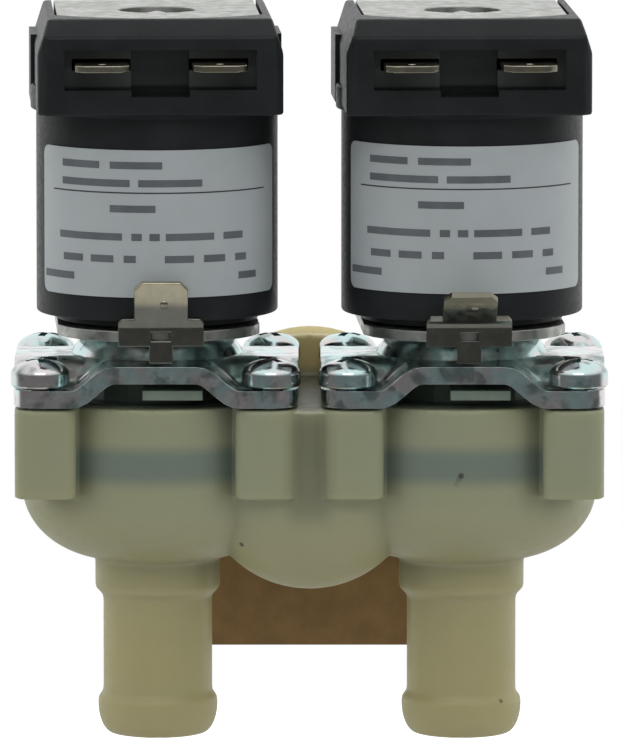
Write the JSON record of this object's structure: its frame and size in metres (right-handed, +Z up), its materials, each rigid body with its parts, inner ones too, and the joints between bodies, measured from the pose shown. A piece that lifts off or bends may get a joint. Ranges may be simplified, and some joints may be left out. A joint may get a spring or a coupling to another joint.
{
  "type": "double water valve",
  "caption": "Double solenoid water inlet valve: one inlet at the back, twin round coils on top, twin hose nozzles below, on a fork-shaped mounting plate.",
  "frame": {"origin": "back face of the mounting plate, midway between its two fixing holes", "axes": "+Y out of the back of the plate, towards the supply hose; +Z up; +X to the right seen from the front"},
  "size_m": [0.0698, 0.0578, 0.0861],
  "materials": {
    "cream_moulding": "translucent satin",
    "brown_moulding": "matte",
    "white_moulding": "satin",
    "grey_green_moulding": "satin",
    "black_moulding": "satin, fine grain",
    "dark_rubber": "matte",
    "bright_zinc": "bright zinc with a blue tinge",
    "grey_zinc": "dull zinc",
    "stainless_steel": "smooth",
    "spring_steel": "smooth",
    "tinned_brass": "tinned, dull",
    "label_film": "satin film"
  },
  "bodies": {
    "valve": {"valve_body": "cream_moulding", "mounting_plate": "brown_moulding", "inlet_strainer": "white_moulding", "cover_plate_left": "bright_zinc", "screw_front_outer_left": "bright_zinc", "screw_front_inner_left": "bright_zinc", "screw_rear_outer_left": "bright_zinc", "screw_rear_inner_left": "bright_zinc", "cover_insert_left": "grey_green_moulding", "diaphragm_left": "dark_rubber", "diaphragm_insert_left": "white_moulding", "guide_tube_left": "stainless_steel", "fixed_core_left": "stainless_steel", "armature_spring_left": "spring_steel", "tube_o_ring_left": "dark_rubber", "coil_left": "black_moulding", "blade_left_left": "tinned_brass", "blade_right_left": "tinned_brass", "yoke_left": "grey_zinc", "earth_tab_left": "tinned_brass", "label_left": "label_film", "cover_plate_right": "bright_zinc", "screw_front_outer_right": "bright_zinc", "screw_front_inner_right": "bright_zinc", "screw_rear_outer_right": "bright_zinc", "screw_rear_inner_right": "bright_zinc", "cover_insert_right": "grey_green_moulding", "diaphragm_right": "dark_rubber", "diaphragm_insert_right": "white_moulding", "guide_tube_right": "stainless_steel", "fixed_core_right": "stainless_steel", "armature_spring_right": "spring_steel", "tube_o_ring_right": "dark_rubber", "coil_right": "black_moulding", "blade_left_right": "tinned_brass", "blade_right_right": "tinned_brass", "yoke_right": "grey_zinc", "earth_tab_right": "tinned_brass", "label_right": "label_film"},
    "plunger_left": {"armature_left": "stainless_steel", "armature_pad_left": "dark_rubber"},
    "plunger_right": {"armature_right": "stainless_steel", "armature_pad_right": "dark_rubber"}
  },
  "joints": [
    {"name": "plunger_slide_left", "type": "slide", "parent": "valve", "child": "plunger_left", "axis": [0, 0, 1], "range_m": [0, 0.0021], "stiffness_N_per_m": 120, "springref_m": -0.004, "deforming": ["armature_spring_left"]},
    {"name": "plunger_slide_right", "type": "slide", "parent": "valve", "child": "plunger_right", "axis": [0, 0, 1], "range_m": [0, 0.0021], "stiffness_N_per_m": 120, "springref_m": -0.004, "deforming": ["armature_spring_right"]}
  ]
}
